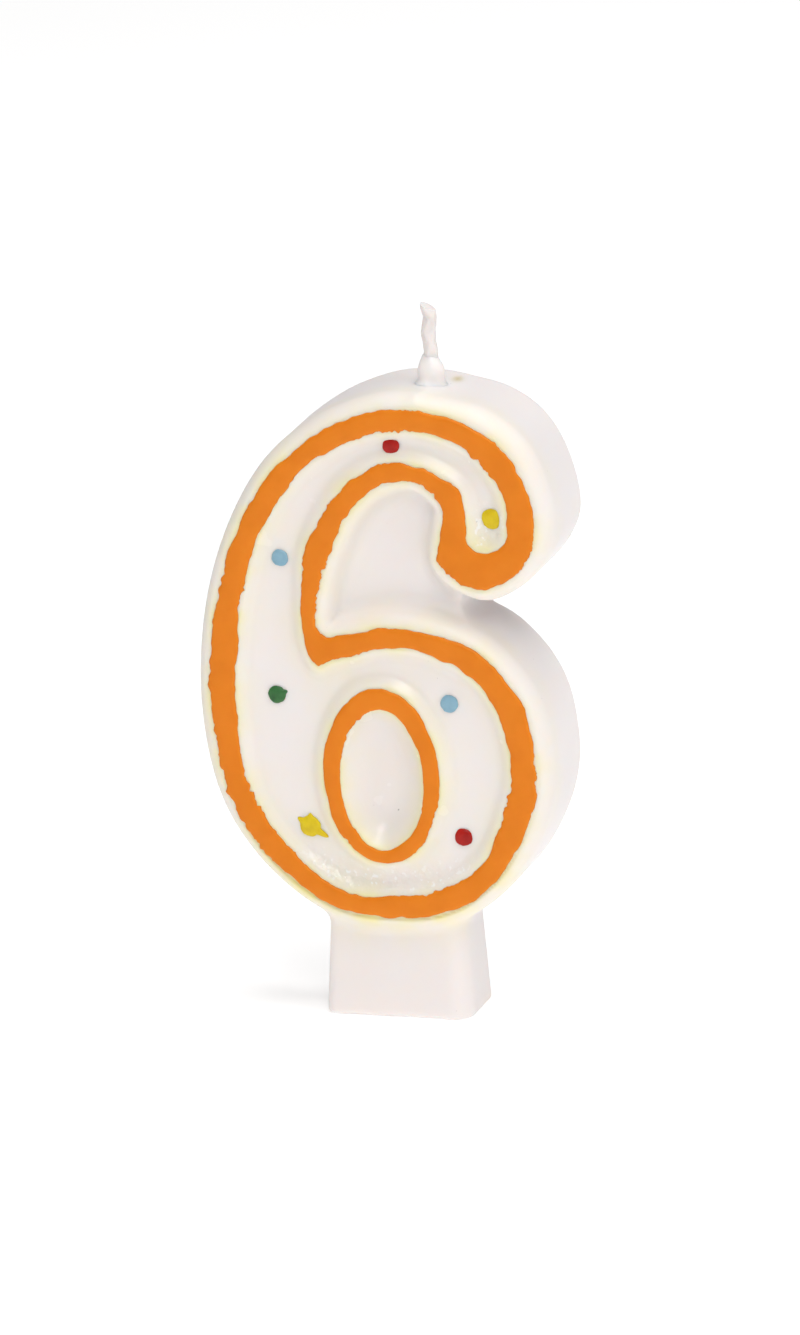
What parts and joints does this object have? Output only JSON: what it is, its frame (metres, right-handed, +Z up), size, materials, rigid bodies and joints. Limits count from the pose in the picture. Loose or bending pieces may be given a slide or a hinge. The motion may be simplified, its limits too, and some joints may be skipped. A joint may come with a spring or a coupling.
{
  "type": "number birthday candle",
  "caption": "Flat cast wax candle in the shape of a six, with a stem to push into a cake, piped wax lines, wax dots and a short wick.",
  "frame": {"origin": "centre of the flat foot of the stem, where the candle stands", "axes": "+X to the right across the digit as it is read, +Y from the decorated front to the plain back, +Z up along the candle towards the wick"},
  "size_m": [0.0435, 0.0136, 0.0847],
  "materials": {
    "body_wax": "cast paraffin wax, soft sheen",
    "seal_wax": "dripped paraffin wax, glossy",
    "wick_cotton": "braided cotton soaked in wax",
    "orange_wax": "piped dyed wax, satin",
    "red_wax": "dyed wax drop, glossy",
    "yellow_wax": "dyed wax drop, glossy",
    "blue_wax": "dyed wax drop, glossy",
    "green_wax": "dyed wax drop, glossy"
  },
  "bodies": {
    "root": {"wax_body": "body_wax", "wick": "wick_cotton", "wick_seal": "seal_wax", "digit_outline": "orange_wax", "counter_outline": "orange_wax", "red_dot_top": "red_wax", "yellow_dot_hook": "yellow_wax", "blue_dot_left": "blue_wax", "green_dot_left": "green_wax", "yellow_dot_low": "yellow_wax", "blue_dot_right": "blue_wax", "red_dot_low": "red_wax"}
  },
  "joints": []
}
